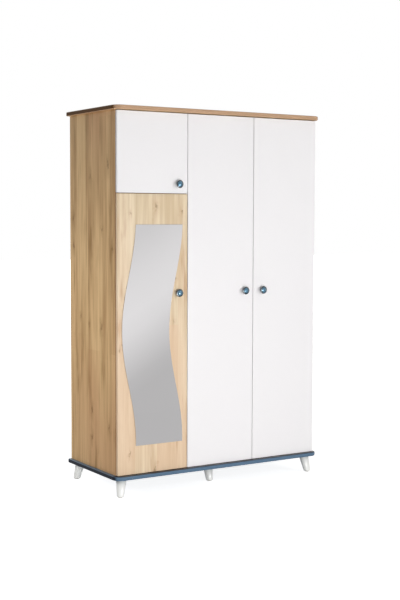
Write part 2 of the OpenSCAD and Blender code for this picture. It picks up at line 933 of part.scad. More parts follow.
// Turned knob: a small foot, a rounded body like a flattened ball, and a recess for the cap
module knob() {
    rim_r = knob_d / 2;
    body_h = (rim_z - foot_t) / 2;
    lip_r = cap_d / 2 + lip_w;
    rear = [for (a = [-75:15:0])
        [waist_r + (rim_r - waist_r) * cos(a), foot_t + body_h * (1 + sin(a))]];
    front = [for (a = [15:15:90])
        [lip_r + (rim_r - lip_r) * cos(a), foot_t + body_h * (1 + sin(a))]];
    difference() {
        rotate_extrude() polygon(concat([[0, 0], [foot_r, 0], [foot_r, foot_t - foot_edge],
            [waist_r, foot_t]], rear, front, [[0, rim_z]]));
        translate([0, 0, rim_z - cap_seat]) cylinder(d = cap_d + 2 * play, h = cap_seat + eps);
        translate([0, 0, -eps]) cylinder(d = knob_screw_d, h = knob_bore + eps);
    }
}

// Domed cap, seated in the knob's recess
module knob_cap() {
    r = (pow(cap_d / 2, 2) + pow(cap_crown, 2)) / (2 * cap_crown);
    translate([0, 0, rim_z - cap_seat]) intersection() {
        cylinder(d = cap_d, h = cap_seat + cap_crown);
        translate([0, 0, cap_seat + cap_crown - r]) sphere(r, $fn = 96);
    }
}

module knob_screw() {
    translate([0, 0, -door_t]) cylinder(d = knob_screw_d, h = door_t + knob_bore);
    translate([0, 0, -door_t - knob_head_h]) cylinder(d = knob_head_d, h = knob_head_h);
}

module upper_left_knob() {
    color("#6d7176") knob_place(0) knob();
}

module lower_left_knob() {
    color("#6d7176") knob_place(1) knob();
}

module middle_knob() {
    color("#6d7176") knob_place(2) knob();
}

module right_knob() {
    color("#6d7176") knob_place(3) knob();
}

module upper_left_knob_cap() {
    color("#5a86ad") knob_place(0) knob_cap();
}

module lower_left_knob_cap() {
    color("#5a86ad") knob_place(1) knob_cap();
}

module middle_knob_cap() {
    color("#5a86ad") knob_place(2) knob_cap();
}

module right_knob_cap() {
    color("#5a86ad") knob_place(3) knob_cap();
}

module upper_left_knob_screw() {
    color("silver") knob_place(0) knob_screw();
}

module lower_left_knob_screw() {
    color("silver") knob_place(1) knob_screw();
}

module middle_knob_screw() {
    color("silver") knob_place(2) knob_screw();
}

module right_knob_screw() {
    color("silver") knob_place(3) knob_screw();
}

// ---------- legs ----------

leg_bolt_d = 8;
leg_bolt_grip = 14;
leg_bolt_bore = 30;
leg_screw_d = 4;
leg_screw_grip = 14;
leg_screw_in = 15;
leg_spare = 2;
leg_x = carcass_w / 2 - leg_in_x;
front_leg_y = door_y + leg_in_y;
rear_leg_y = side_rear - leg_in_y;
mid_leg_y = door_y + mid_leg_in_y;
leg_spots = [
    [-leg_x, front_leg_y, -leg_splay_x, -leg_splay_y],
    [0, mid_leg_y, 0, -mid_leg_splay],
    [leg_x, front_leg_y, leg_splay_x, -leg_splay_y],
    [-leg_x, rear_leg_y, -leg_splay_x, leg_splay_y],
    [0, side_rear - mid_leg_in_y, 0, mid_leg_splay],
    [leg_x, rear_leg_y, leg_splay_x, leg_splay_y]];

module leg_places() {
    for (p = leg_spots) translate([p[0], p[1], 0]) children();
}

// A tapered round leg that leans from its top centre to its foot centre, cut level at both ends
module leg(n) {
    p = leg_spots[n];
    lean = sqrt(p[2] * p[2] + p[3] * p[3]);
    run = leg_h - leg_plate_t - glide_t;
    tilt = atan(lean / run);
    length = run / cos(tilt);
    over = leg_top_d * tan(tilt) / 2 + leg_spare;
    slope = (leg_top_d - leg_foot_d) / 2 / length;
    difference() {
        translate([p[0], p[1], leg_h - leg_plate_t]) rotate(atan2(p[3], p[2])) rotate([0, -tilt, 0])
            rotate([180, 0, 0]) translate([0, 0, -over])
                cylinder(r1 = leg_top_d / 2 + slope * over, r2 = leg_foot_d / 2 - slope * over,
                    h = length + 2 * over);
        translate([p[0] - leg_top_d, p[1] - leg_top_d, leg_h - leg_plate_t])
            cube([2 * leg_top_d, 2 * leg_top_d, leg_top_d]);
        translate([p[0] + p[2] - leg_top_d, p[1] + p[3] - leg_top_d, glide_t - leg_top_d])
            cube([2 * leg_top_d, 2 * leg_top_d, leg_top_d]);
        translate([p[0], p[1], leg_h - leg_plate_t - leg_bolt_bore])
            cylinder(d = leg_bolt_d, h = leg_bolt_bore + eps);
    }
}

module leg_front_left() {
    color("#efefec") leg(0);
}

module leg_front_middle() {
    color("#efefec") leg(1);
}

module leg_front_right() {
    color("#efefec") leg(2);
}

module leg_rear_left() {
    color("#efefec") leg(3);
}

module leg_rear_middle() {
    color("#efefec") leg(4);
}

module leg_rear_right() {
    color("#efefec") leg(5);
}

module leg_plates() {
    color("#a9acb0") leg_places() translate([0, 0, leg_h - leg_plate_t]) difference() {
        translate([-leg_plate_w / 2, -leg_plate_w / 2, 0])
            cube([leg_plate_w, leg_plate_w, leg_plate_t]);
        translate([0, 0, -eps]) cylinder(d = leg_bolt_d, h = leg_plate_t + 2 * eps);
        leg_screw_places() countersink(eps);
    }
}

module leg_screw_places() {
    for (x = [-1, 1], y = [-1, 1])
        translate([x * leg_screw_in, y * leg_screw_in, 0]) children();
}

// The head's cone fills the plate's thickness
module countersink(over) {
    translate([0, 0, -over]) cylinder(d = 2 * leg_screw_d, h = over + eps);
    cylinder(d1 = 2 * leg_screw_d, d2 = leg_screw_d, h = leg_plate_t);
    translate([0, 0, leg_plate_t - eps]) cylinder(d = leg_screw_d, h = over + eps);
}

module leg_plate_screws() {
    color("silver") leg_places() translate([0, 0, leg_h - leg_plate_t]) leg_screw_places() {
        cylinder(d1 = 2 * leg_screw_d, d2 = leg_screw_d, h = leg_plate_t);
        translate([0, 0, leg_plate_t - eps]) cylinder(d = leg_screw_d, h = leg_screw_grip + eps);
    }
}

module leg_bolts() {
    color("silver") leg_places() translate([0, 0, leg_h - leg_plate_t - leg_bolt_bore])
        cylinder(d = leg_bolt_d, h = leg_bolt_bore + leg_plate_t + leg_bolt_grip);
}

module leg_glides() {
    color("#77716a") for (p = leg_spots) translate([p[0] + p[2], p[1] + p[3], 0])
        cylinder(d = glide_d, h = glide_t);
}

top_board();
base_board();
side_panel_left();
side_panel_right();
partition();
fixed_shelf();
hat_shelf();
movable_shelves();
shelf_pins();
hanging_rail();
rail_flanges();
back_left();
back_middle();
back_right();
back_joiner();
cams();
cam_bolts();
dowels();
hinge_plates();
hinge_plate_screws();
hinge_arms_left();
hinge_arms_middle();
hinge_arms_right();
door_bumpers();
upper_left_door();
upper_left_hinge_cups();
upper_left_hinge_pins();
upper_left_knob();
upper_left_knob_cap();
upper_left_knob_screw();
lower_left_door();
lower_left_hinge_cups();
lower_left_hinge_pins();
lower_left_knob();
lower_left_knob_cap();
lower_left_knob_screw();
mirror_glass();
mirror_tape();
middle_door();
middle_hinge_cups();
middle_hinge_pins();
middle_knob();
middle_knob_cap();
middle_knob_screw();
right_door();
right_hinge_cups();
right_hinge_pins();
right_knob();
right_knob_cap();
right_knob_screw();
leg_front_left();
leg_front_middle();
leg_front_right();
leg_rear_left();
leg_rear_middle();
leg_rear_right();
leg_plates();
leg_plate_screws();
leg_bolts();
leg_glides();
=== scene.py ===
from math import cos, pi, radians, sin

import bmesh
import bpy
from mathutils import Matrix, Vector


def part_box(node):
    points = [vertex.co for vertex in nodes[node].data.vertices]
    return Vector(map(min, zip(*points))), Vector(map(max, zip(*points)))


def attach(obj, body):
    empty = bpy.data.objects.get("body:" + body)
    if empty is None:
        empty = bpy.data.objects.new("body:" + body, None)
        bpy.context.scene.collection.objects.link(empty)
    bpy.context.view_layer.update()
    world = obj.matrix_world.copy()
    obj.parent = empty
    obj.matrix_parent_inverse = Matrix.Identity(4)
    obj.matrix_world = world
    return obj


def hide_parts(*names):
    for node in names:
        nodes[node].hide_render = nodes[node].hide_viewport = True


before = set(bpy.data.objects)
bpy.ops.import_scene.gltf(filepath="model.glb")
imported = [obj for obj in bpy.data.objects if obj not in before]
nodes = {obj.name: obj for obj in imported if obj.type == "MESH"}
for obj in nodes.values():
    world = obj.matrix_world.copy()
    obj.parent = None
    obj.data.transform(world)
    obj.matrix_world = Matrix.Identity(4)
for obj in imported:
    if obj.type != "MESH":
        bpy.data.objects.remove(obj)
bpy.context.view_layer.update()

# ---------------------------------------------------------------------------------------
# Carcass panels and boards in beech décor: printed paper on 18 mm chipboard, with narrow
# staves of different tone, fine pores, drawn-out figure and a few knots. The cut edges
# carry a plain band of a redder beech.


class Wire:
    """A shader value that takes part in ordinary arithmetic."""

    def __init__(self, finish, socket):
        self.finish = finish
        self.socket = socket

    def __add__(self, other):
        return self.finish.maths("ADD", self, other)

    def __sub__(self, other):
        return self.finish.maths("SUBTRACT", self, other)

    def __rsub__(self, other):
        return self.finish.maths("SUBTRACT", other, self)

    def __mul__(self, other):
        return self.finish.maths("MULTIPLY", self, other)

    def __lt__(self, other):
        return self.finish.maths("LESS_THAN", self, other)

    def __gt__(self, other):
        return self.finish.maths("GREATER_THAN", self, other)

    __radd__ = __add__
    __rmul__ = __mul__


class Finish:
    """A material: object coordinates come in, and one Principled shader goes out."""

    parts = {"colour": "Base Color", "roughness": "Roughness", "metallic": "Metallic",
             "coat": "Coat Weight", "coat_roughness": "Coat Roughness",
             "specular": "Specular IOR Level"}

    def __init__(self, name, **constants):
        self.material = bpy.data.materials.new(name)
        self.material.use_nodes = True
        self.tree = self.material.node_tree
        self.shader = self.tree.nodes["Principled BSDF"]
        for part, value in constants.items():
            self.shader.inputs[self.parts[part]].default_value = value
        place = self.node("ShaderNodeTexCoord").outputs["Object"]
        split = self.node("ShaderNodeSeparateXYZ", {}, {0: place})
        self.x, self.y, self.z = (Wire(self, split.outputs[axis]) for axis in "XYZ")

    def node(self, kind, settings={}, sockets={}):
        """A node of one kind: its settings come first, then its values and links."""
        node = self.tree.nodes.new(kind)
        for name, value in settings.items():
            if name == "stops":
                stops = node.color_ramp.elements
                while len(stops) < len(value):
                    stops.new(0.5)
                for stop, (place, colour) in zip(stops, value):
                    stop.position, stop.color = place, colour
            else:
                setattr(node, name, value)
        for name, value in sockets.items():
            if isinstance(value, Wire):
                value = value.socket
            if isinstance(value, bpy.types.NodeSocket):
                self.tree.links.new(value, node.inputs[name])
            else:
                node.inputs[name].default_value = value
        return node

    def maths(self, operation, *values):
        node = self.node("ShaderNodeMath", {"operation": operation}, dict(enumerate(values)))
        return Wire(self, node.outputs[0])

    def point(self, x, y, z):
        return self.node("ShaderNodeCombineXYZ", {}, {0: x, 1: y, 2: z}).outputs[0]

    def noise(self, x, y, z, detail=2.0, roughness=0.5):
        sockets = {"Vector": self.point(x, y, z), "Scale": 1.0, "Detail": detail,
                   "Roughness": roughness}
        return Wire(self, self.node("ShaderNodeTexNoise", {}, sockets).outputs[0])

    def speckle(self, scale, detail=2.0, roughness=0.5):
        """Noise of the same scale on all three axes."""
        return self.noise(self.x * scale, self.y * scale, self.z * scale, detail, roughness)

    def chance(self, column, row):
        """A random number that belongs to one cell."""
        cell = {"Vector": self.point(column, row, 0.5)}
        node = self.node("ShaderNodeTexWhiteNoise", {"noise_dimensions": "3D"}, cell)
        return Wire(self, node.outputs[0])

    def facing(self):
        """How far a face looks along each axis, from -1 to 1."""
        normal = self.node("ShaderNodeNewGeometry").outputs["Normal"]
        split = self.node("ShaderNodeSeparateXYZ", {}, {0: normal})
        return [Wire(self, split.outputs[axis]) for axis in "XYZ"]

    def ease(self, value, low, high):
        """0 below the low value, 1 above the high one, and a smooth rise between."""
        sockets = {"Value": value, "From Min": low, "From Max": high}
        node = self.node("ShaderNodeMapRange", {"interpolation_type": "SMOOTHSTEP"}, sockets)
        return Wire(self, node.outputs[0])

    def tint(self, mask, below, above):
        """The colour below where the mask is 0, and the colour above where it is 1."""
        node = self.node("ShaderNodeMix", {"data_type": "RGBA"}, {0: mask, 6: below, 7: above})
        return node.outputs[2]

    def feed(self, **inputs):
        """Links what changes over the surface to the shader."""
        for part, value in inputs.items():
            if isinstance(value, Wire):
                value = value.socket
            self.tree.links.new(value, self.shader.inputs[self.parts[part]])

    def relief(self, height, strength, distance):
        """Surface relief of the given depth in metres."""
        bump = self.node("ShaderNodeBump", {},
                         {"Height": height, "Strength": strength, "Distance": distance})
        self.tree.links.new(bump.outputs[0], self.shader.inputs["Normal"])

    def dress(self, *names):
        """Gives the material to these CAD nodes."""
        for name in names:
            mesh = nodes[name].data
            mesh.materials.clear()
            mesh.materials.append(self.material)


def srgb(red, green, blue):
    """A colour as a paint chart gives it, 0 to 255, as light values."""
    steps = (channel / 255 for channel in (red, green, blue))
    return tuple(s / 12.92 if s <= 0.04045 else ((s + 0.055) / 1.055) ** 2.4
                 for s in steps) + (1.0,)


def beech(name, along, across, offset, tones, stave, knots=(), edges=None, specular=0.2):
    """Beech décor with its grain on one axis and its staves side by side on another.

    The tones are pale, dark, rosy, olive and the band on cut edges. A knot is its place
    across and along the grain, its width and its strength."""
    pale, dark, rosy, olive, band = tones
    finish = Finish(name, specular=specular, coat=0.03, coat_roughness=0.3)
    axes = {"x": finish.x, "y": finish.y, "z": finish.z}
    length, width = axes[along], axes[across]
    depth = axes[({"x", "y", "z"} - {along, across}).pop()]
    # staves side by side, each glued up from shorter lengths of its own tone
    column = finish.maths("FLOOR", (width + offset) * (1 / stave))
    jump = finish.chance(column, 0.5)
    row = finish.maths("FLOOR", length * 0.8 + jump * 5.0)
    own, blush = finish.chance(column, row), finish.chance(column + 31.0, row)
    shift = jump * 7.0
    cloud = finish.noise(width * 6.0 + shift, length * 1.1 + shift, depth * 6.0, 2.0)
    streak = finish.noise(width * 60.0, length * 1.9 + shift, depth * 60.0, 3.0, 0.62)
    pore = finish.noise(width * 420.0, length * 15.0, depth * 420.0, 2.0, 0.6)
    plank = finish.noise(width * 15.0, length * 1.1 + shift, depth * 15.0, 2.0)
    tone = own * 0.12 + cloud * 0.55 + streak * 0.8 + plank * 0.7 - 0.76
    wood = finish.tint(finish.ease(tone, 0.08, 0.56), pale, dark)
    warm = finish.noise(width * 2.2, length * 0.9, depth * 2.2 + offset, 1.0)
    wood = finish.tint(finish.ease(blush * 0.3 + warm, 0.5, 0.9) * 0.6, wood, rosy)
    # drawn-out olive streaks, most of them along the joints of the staves
    drawn = finish.noise(width * 27.0, length * 2.9 + offset, depth * 27.0, 3.0, 0.62)
    patch = finish.noise(width * 8.0 + offset, length * 1.9, depth * 8.0, 1.0)
    mark = finish.ease(drawn, 0.46, 0.70) * finish.ease(patch, 0.44, 0.64)
    wood = finish.tint(mark * 0.6, wood, olive)
    wood = finish.tint(finish.ease(pore, 0.55, 0.8) * 0.16, wood, olive)
    # knots: a dark eye with a soft stain that runs up and down the grain
    ripple = finish.noise(width * 30.0, length * 22.0, depth * 30.0, 3.0, 0.7) - 0.5
    for spot_across, spot_along, size, strength in knots:
        side = (width - spot_across + ripple * 0.06) * (1.3 / size)
        rise = (length - spot_along + ripple * 0.09) * (0.45 / size)
        gap = finish.maths("SQRT", side * side + rise * rise)
        stain = 1.0 - finish.ease(gap, 0.1, 1.6)
        eye = 1.0 - finish.ease(gap, 0.1, 0.5)
        wood = finish.tint(stain * (0.34 * strength), wood, olive)
        wood = finish.tint(eye * (0.58 * strength), wood, srgb(104, 64, 20))
    if edges:
        wood = finish.tint(edges(finish), wood, band)
    finish.feed(colour=wood, roughness=0.38 + pore * 0.14)
    finish.relief(pore * 0.6 + streak * 0.4, 0.25, 0.0002)
    return finish


carcass_tones = (srgb(221, 186, 136), srgb(175, 136, 89), srgb(200, 154, 112),
                 srgb(132, 94, 38), srgb(164, 118, 86))
side_low, side_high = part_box("side_panel_left")
rear, ceiling = side_high.y, side_high.z
band_t, shelf_setback = 0.0006, 0.012


def front_band(finish):
    return finish.y < side_low.y + band_t


def shelf_band(finish):
    return finish.y < side_low.y + shelf_setback + band_t


beech("beech_side_left", "z", "y", 0.842, carcass_tones, 0.13, knots=[
    (rear - 0.440, ceiling - 0.275, 0.030, 0.9), (rear - 0.240, ceiling - 0.330, 0.024, 0.8),
    (rear - 0.036, ceiling - 0.540, 0.032, 0.8), (rear - 0.038, ceiling - 0.690, 0.026, 0.9),
    (rear - 0.372, ceiling - 0.602, 0.016, 1.0), (rear - 0.486, ceiling - 0.706, 0.020, 0.9),
    (rear - 0.124, ceiling - 1.070, 0.016, 1.0), (rear - 0.362, ceiling - 1.105, 0.030, 0.9),
    (rear - 0.222, ceiling - 1.105, 0.022, 0.7), (rear - 0.255, ceiling - 1.560, 0.026, 0.9),
    (rear - 0.452, ceiling - 1.635, 0.026, 0.8), (rear - 0.250, ceiling - 1.700, 0.024, 0.9)],
    edges=front_band).dress("side_panel_left")
beech("beech_side_right", "z", "y", 0.317, carcass_tones, 0.13, knots=[
    (0.10, 0.62, 0.028, 0.9), (-0.12, 1.31, 0.018, 1.0), (0.02, 1.72, 0.030, 0.8)],
    edges=front_band).dress("side_panel_right", "partition")
beech("beech_shelves", "x", "y", 0.148, carcass_tones, 0.11, knots=[
    (0.06, -0.44, 0.020, 0.9), (-0.08, 0.24, 0.026, 0.8)],
    edges=shelf_band).dress("fixed_shelf", "hat_shelf", "movable_shelves")


def board_ends(finish):
    """1 on the short ends of a flat board, and 1 on the whole of its rounded edge."""
    along, _, up = finish.facing()
    sideways, upwards = finish.maths("ABSOLUTE", along), finish.maths("ABSOLUTE", up)
    return finish.ease(sideways, 0.7, 0.98), 1.0 - finish.ease(upwards, 0.9, 0.97)


top = beech("beech_top", "x", "y", 0.071, carcass_tones, 0.12, knots=[
    (0.05, -0.31, 0.024, 0.9), (-0.11, 0.22, 0.018, 1.0)], specular=0.06)
ends, edge = board_ends(top)
grain = top.noise(top.x * 3.0, top.y * 90.0, top.z * 260.0, 3.0, 0.6)
band = top.tint(grain, srgb(212, 178, 148), srgb(176, 138, 106))
# painted shade: the band on both short ends of the top board is painted dark brown, for the shade
# those ends are in
band = top.tint(ends, band, srgb(88, 58, 26))
board = top.shader.inputs["Base Color"].links[0].from_socket
top.feed(colour=top.tint(edge, board, band))
top.dress("top_board")

# ---------------------------------------------------------------------------------------
# Base board: the same board with a rounded edge, wrapped in grey-blue foil with a silk
# sheen. The legs are screwed to it from below.

blue_foil = Finish("blue_foil", specular=0.15, coat_roughness=0.12)
haze, grit = blue_foil.speckle(3.0), blue_foil.speckle(900.0)
ends, _ = board_ends(blue_foil)
foil = blue_foil.tint(haze, srgb(82, 109, 133), srgb(92, 118, 142))
# painted shade: the rounded edge is painted a dark navy along its top, as far back as the doors,
# for the shadow of the doors and the gap under them
painted_shade_top = blue_foil.ease(blue_foil.facing()[2], 0.35, 0.8)
outside = blue_foil.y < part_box("middle_door")[1].y
foil = blue_foil.tint(painted_shade_top * outside, foil, srgb(12, 19, 32))
# painted shade: both short ends of the base board are painted a dark navy, and their coat is
# taken almost off, for the shade those ends are in
blue_foil.feed(colour=blue_foil.tint(ends, foil, srgb(14, 23, 38)),
               roughness=0.3 + haze * 0.1, coat=0.25 - ends * 0.24)
blue_foil.relief(grit, 0.12, 0.0002)
blue_foil.dress("base_board")

# ---------------------------------------------------------------------------------------
# Back: three sheets of 3 mm hardboard in grooves, with the print on the inside and the bare
# brown fibre outside, and a plastic joiner between two of them.

back_mid = sum(corner.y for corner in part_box("back_left")) / 2
hardboard = Finish("hardboard")
fibre = hardboard.speckle(160.0, 4.0, 0.7)
blotch = hardboard.noise(hardboard.x * 6.0, 0.0, hardboard.z * 4.0, 2.0)
bare = hardboard.tint(fibre * 0.6 + blotch * 0.4, srgb(150, 112, 74), srgb(112, 78, 48))
line = hardboard.noise(hardboard.x * 60.0, 0.0, hardboard.z * 1.2, 3.0, 0.6)
printed = hardboard.tint(line, srgb(216, 192, 154), srgb(180, 150, 110))
hardboard.feed(colour=hardboard.tint(hardboard.y > back_mid, printed, bare),
               roughness=0.62 + fibre * 0.25)
hardboard.relief(fibre, 0.3, 0.0003)
hardboard.dress("back_left", "back_middle", "back_right")

# ---------------------------------------------------------------------------------------
# Moulded parts: the joiner that holds two sheets of the back together, and the soft bumpers
# behind the doors, all of pale plastic.

moulded = Finish("pale_moulding")
cast = moulded.speckle(400.0)
moulded.feed(colour=moulded.tint(cast, srgb(226, 221, 210), srgb(212, 206, 194)),
             roughness=0.42 + cast * 0.2)
moulded.relief(cast, 0.15, 0.0002)
moulded.dress("back_joiner", "door_bumpers")

# ---------------------------------------------------------------------------------------
# Fittings of steel and die-cast zinc: the hinges, plates, screws, pins and bolts are nickel
# or zinc plated, the cams and rail flanges are plain castings, and the rail is chromed.


def plated(name, light, dark, rough, *names):
    """Plated metal, cloudy and finely brushed, on the named nodes."""
    finish = Finish(name, metallic=1.0)
    swirl = finish.speckle(70.0, 3.0, 0.6)
    rub = finish.noise(finish.x * 700.0, finish.y * 700.0, finish.z * 90.0, 2.0)
    finish.feed(colour=finish.tint(swirl, light, dark), roughness=rough + swirl * 0.12)
    finish.relief(rub, 0.1, 0.0001)
    finish.dress(*names)
    return finish


door_names = ("upper_left", "lower_left", "middle", "right")
plated("nickel_plate", srgb(214, 214, 212), srgb(178, 179, 180), 0.2,
       "hinge_plates", "hinge_arms_left", "hinge_arms_middle", "hinge_arms_right",
       *(name + "_hinge_cups" for name in door_names))
zinc = plated("zinc_plate", srgb(190, 194, 200), srgb(150, 154, 160), 0.3,
              "hinge_plate_screws", "cam_bolts", "shelf_pins", "leg_plates",
              "leg_plate_screws", "leg_bolts", *(name + "_knob_screw" for name in door_names),
              *(name + "_hinge_pins" for name in door_names))
plated("die_cast_zinc", srgb(176, 178, 182), srgb(134, 136, 140), 0.42, "cams", "rail_flanges")
plated("rail_chrome", srgb(228, 229, 232), srgb(206, 208, 212), 0.06, "hanging_rail")

# ---------------------------------------------------------------------------------------
# Screws of the hinges and of the rail's flanges: zinc-plated steel with a low pan head and
# a round recess. Two hold each cup to its door, two each arm to its plate, three each flange.


def new_object(name, mesh, material, smooth=None):
    """Makes an object of a finished bmesh, with its place in its mesh.

    The faces that smooth picks are shaded smooth."""
    data = bpy.data.meshes.new(name)
    mesh.to_mesh(data)
    mesh.free()
    if smooth:
        for face in data.polygons:
            face.use_smooth = smooth(face)
    data.materials.append(material)
    piece = bpy.data.objects.new(name, data)
    bpy.context.scene.collection.objects.link(piece)
    return piece


def spun(profile, steps):
    """A closed turned shape: the profile's points are radius and height on the Z axis."""
    mesh = bmesh.new()
    points = [mesh.verts.new((radius, 0.0, height)) for radius, height in profile]
    lines = [mesh.edges.new(pair) for pair in zip(points, points[1:])]
    bmesh.ops.spin(mesh, geom=points + lines, cent=(0, 0, 0), axis=(0, 0, -1), angle=2 * pi,
                   steps=steps, use_merge=True)
    bmesh.ops.remove_doubles(mesh, verts=mesh.verts, dist=1e-6)
    bmesh.ops.recalc_face_normals(mesh, faces=mesh.faces)
    return mesh


shank_r, shank_l = 0.0016, 0.0009
rim_h, head_h, recess_floor = 0.0005, 0.0014, 0.0005
cup_head_r, arm_head_r, flange_head_r = 0.0031, 0.0034, 0.0030


def screws(name, body, head_r, places):
    """Screws, each with its head on a face at a place and looking in a direction."""
    mesh = spun([(0.0, -shank_l), (shank_r, -shank_l), (shank_r, 0.0), (head_r, 0.0),
                 (head_r, rim_h), (head_r * 0.84, head_h * 0.8), (head_r * 0.5, head_h),
                 (head_r * 0.42, head_h), (head_r * 0.36, recess_floor), (0.0, recess_floor)], 20)
    pattern = mesh.verts[:] + mesh.edges[:] + mesh.faces[:]
    corners = mesh.verts[:]
    for place, direction in places:
        copy = bmesh.ops.duplicate(mesh, geom=pattern)["geom"]
        turn = direction.to_track_quat("Z", "Y").to_matrix().to_4x4()
        bmesh.ops.transform(mesh, verts=[v for v in copy if isinstance(v, bmesh.types.BMVert)],
                            matrix=Matrix.Translation(place) @ turn)
    bmesh.ops.delete(mesh, geom=corners, context="VERTS")
    piece = new_object(name, mesh, zinc.material)
    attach(piece, body)


# the distance from a door's end to its first hinge, the number of hinges, and how far the
# outer face of their arms stands from the door's hinged edge
hinge_rows = {"upper_left": (0.080, 2, 0.028), "lower_left": (0.100, 3, 0.028),
              "middle": (0.100, 4, 0.018), "right": (0.100, 4, 0.028)}
# a cup's screws from the hinged edge and from the cup's middle, and an arm's from the front
lug_in, lug_rise = 0.0305, 0.0225
arm_screw_ins = (0.046, 0.066)
arm_places = []
for name, (end, count, arm_in) in hinge_rows.items():
    low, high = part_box(name + "_door")
    edge, inward = (high.x, -1) if name == "right" else (low.x, 1)
    pitch = (high.z - low.z - 2 * end) / (count - 1)
    levels = [low.z + end + pitch * step for step in range(count)]
    flange_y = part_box(name + "_hinge_cups")[1].y
    screws(name + "_cup_screws", name + "_door", cup_head_r,
           [(Vector((edge + inward * lug_in, flange_y, level + side * lug_rise)),
             Vector((0, 1, 0))) for level in levels for side in (-1, 1)])
    arm_places += [(Vector((edge + inward * arm_in, low.y + back, level)),
                    Vector((inward, 0, 0))) for level in levels for back in arm_screw_ins]
screws("hinge_arm_screws", "carcass", arm_head_r, arm_places)

flange_t, screw_circle = 0.003, 0.0192
low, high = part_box("rail_flanges")
rail_y, rail_z = (low.y + high.y) / 2, (low.z + high.z) / 2
screws("rail_flange_screws", "carcass", flange_head_r, [
    (Vector((face, rail_y + screw_circle * sin(turn), rail_z + screw_circle * cos(turn))),
     Vector((inward, 0, 0)))
    for face, inward in ((low.x + flange_t, 1), (high.x - flange_t, -1))
    for turn in (0, radians(120), radians(240))])

# ---------------------------------------------------------------------------------------
# Dowels: plain fluted beech, glued into one board and pushed into the next. They keep the
# boards level while the cams pull them together.

raw_beech = Finish("raw_beech", roughness=0.7)
flute = raw_beech.speckle(300.0, 3.0)
raw_beech.feed(colour=raw_beech.tint(flute, srgb(222, 190, 146), srgb(186, 148, 104)))
raw_beech.dress("dowels")

# ---------------------------------------------------------------------------------------
# White fronts: the small top-left door and the two tall doors, foil-wrapped board with a
# silk gloss, a faint orange peel and slightly rounded upright edges.

white_front = Finish("white_front", specular=0.35, coat=0.1, coat_roughness=0.15)
peel = white_front.speckle(260.0)
white_front.feed(colour=white_front.tint(peel, srgb(245, 243, 244), srgb(241, 239, 240)),
                 roughness=0.22 + peel * 0.08)
white_front.relief(peel, 0.08, 0.0002)
white_front.dress("upper_left_door", "middle_door", "right_door")

# ---------------------------------------------------------------------------------------
# Lower-left door: the same board in a light beech décor with upright grain and a few small
# knots. It carries the mirror.

door_low, door_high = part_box("lower_left_door")
beech("beech_door", "z", "x", 0.266, (
    srgb(239, 223, 195), srgb(213, 190, 156), srgb(222, 188, 156), srgb(180, 130, 88),
    srgb(214, 184, 146)), 0.128, knots=[
        (door_low.x + 0.222, door_high.z - 0.068, 0.024, 0.7),
        (door_low.x + 0.074, door_high.z - 0.104, 0.012, 0.7),
        (door_low.x + 0.378, door_high.z - 0.096, 0.014, 0.8),
        (door_low.x + 0.338, door_high.z - 0.440, 0.022, 0.6),
        (door_low.x + 0.330, door_high.z - 0.660, 0.018, 0.5),
        (door_low.x + 0.016, door_high.z - 0.790, 0.014, 0.6),
        (door_low.x + 0.072, door_low.z + 0.110, 0.014, 0.7),
        (door_low.x + 0.222, door_low.z + 0.012, 0.018, 0.8)]).dress("lower_left_door")

# ---------------------------------------------------------------------------------------
# Mirror: 4 mm silvered glass cut to a slow wave, with ground edges. It is stuck to its door
# with strips of foam tape.

silver = Finish("silvered_glass", metallic=1.0)
wisp = silver.speckle(2.0)
silver.feed(colour=silver.tint(wisp, srgb(241, 239, 240), srgb(235, 233, 234)),
            roughness=0.015 + wisp * 0.02)
silver.dress("mirror_glass")
foam = Finish("foam_tape", roughness=0.9)
cell = foam.speckle(900.0)
foam.feed(colour=foam.tint(cell, srgb(236, 236, 232), srgb(206, 206, 202)))
foam.dress("mirror_tape")

# ---------------------------------------------------------------------------------------
# Knobs: turned metal knobs in dark chrome with a domed cap in translucent blue, each held
# by one screw through the door.

dark_chrome = Finish("dark_chrome", metallic=1.0)
turned = dark_chrome.noise(dark_chrome.x * 500.0, dark_chrome.y * 60.0,
                           dark_chrome.z * 500.0, 2.0)
dark_chrome.feed(colour=dark_chrome.tint(turned, srgb(112, 118, 122), srgb(76, 82, 86)),
                 roughness=0.2 + turned * 0.1)
blue_cap = Finish("blue_cap", coat=1.0, coat_roughness=0.04, metallic=0.5)
cloudy = blue_cap.speckle(90.0)
blue_cap.feed(colour=blue_cap.tint(cloudy, srgb(88, 138, 166), srgb(56, 98, 122)),
              roughness=0.2 + cloudy * 0.1)
foot_r, foot_edge, foot_h = 0.009, 0.0008, 0.0022
waist_r, waist_h, neck_l = 0.0065, 0.0040, 0.014
rim_r, lip_r = 0.021, 0.0150
# the seat of the cap: its radius, and the depths of its lip and of its floor
seat_r, lip_h, seat_h = 0.0142, 0.0006, 0.0025


